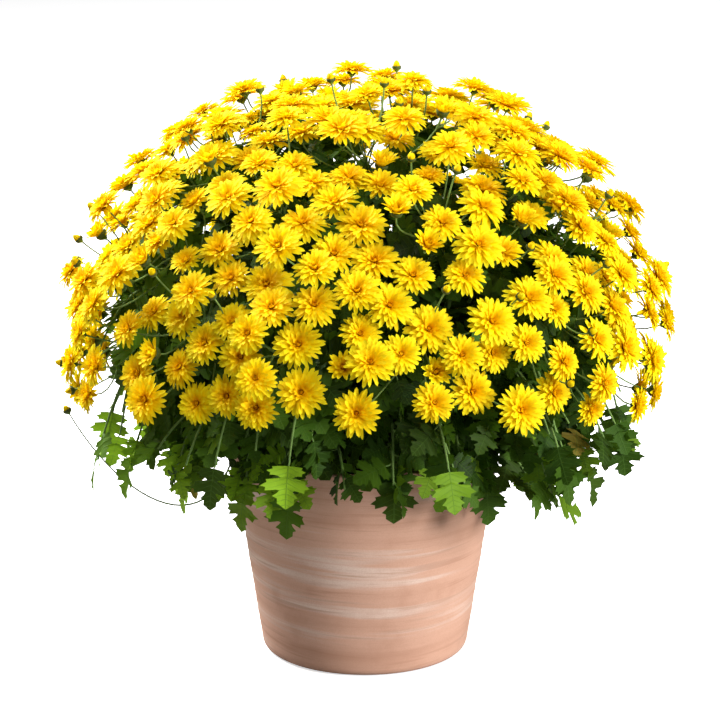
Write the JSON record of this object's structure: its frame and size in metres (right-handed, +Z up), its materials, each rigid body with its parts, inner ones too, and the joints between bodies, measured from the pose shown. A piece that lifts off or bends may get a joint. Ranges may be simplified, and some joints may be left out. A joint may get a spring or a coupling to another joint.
{
  "type": "pot chrysanthemum",
  "caption": "Domed yellow garden chrysanthemum in full bloom, with lobed green leaves, in a plain conical terracotta pot.",
  "frame": {"origin": "centre of the pot's flat base, on the surface that it stands on", "axes": "+Z up along the pot's axis, -Y towards the viewer of the picture, +X to that viewer's right"},
  "size_m": [0.5491, 0.5535, 0.5296],
  "materials": {
    "terracotta": "matt, unglazed",
    "soil": "matt, crumbly",
    "leaf_green": "satin",
    "petal_yellow": "soft matt"
  },
  "bodies": {
    "root": {"pot": "terracotta", "soil": "soil", "spray_01": "petal_yellow", "spray_02": "petal_yellow", "spray_03": "petal_yellow", "spray_04": "petal_yellow", "spray_05": "petal_yellow", "spray_06": "petal_yellow", "spray_07": "petal_yellow", "spray_08": "petal_yellow", "spray_09": "petal_yellow", "spray_10": "petal_yellow", "spray_11": "petal_yellow", "spray_12": "petal_yellow", "spray_13": "petal_yellow", "spray_14": "petal_yellow", "spray_15": "petal_yellow", "spray_16": "petal_yellow", "spray_17": "petal_yellow", "spray_18": "petal_yellow", "spray_19": "petal_yellow", "spray_20": "petal_yellow", "spray_21": "petal_yellow", "spray_22": "petal_yellow", "spray_23": "petal_yellow", "spray_24": "petal_yellow", "spray_25": "petal_yellow", "spray_26": "petal_yellow", "spray_27": "petal_yellow", "spray_28": "petal_yellow", "spray_29": "petal_yellow", "stem_01": "leaf_green", "stem_02": "leaf_green", "stem_03": "leaf_green", "stem_04": "leaf_green", "stem_05": "leaf_green", "stem_06": "leaf_green", "stem_07": "leaf_green", "stem_08": "leaf_green", "stem_09": "leaf_green", "stem_10": "leaf_green", "stem_11": "leaf_green", "stem_12": "leaf_green", "stem_13": "leaf_green", "stem_14": "leaf_green", "stem_15": "leaf_green", "stem_16": "leaf_green", "stem_17": "leaf_green", "stem_18": "leaf_green", "stem_19": "leaf_green", "stem_20": "leaf_green", "stem_21": "leaf_green", "stem_22": "leaf_green", "stem_23": "leaf_green", "stem_24": "leaf_green", "stem_25": "leaf_green", "stem_26": "leaf_green", "stem_27": "leaf_green", "stem_28": "leaf_green", "stem_29": "leaf_green"}
  },
  "joints": []
}
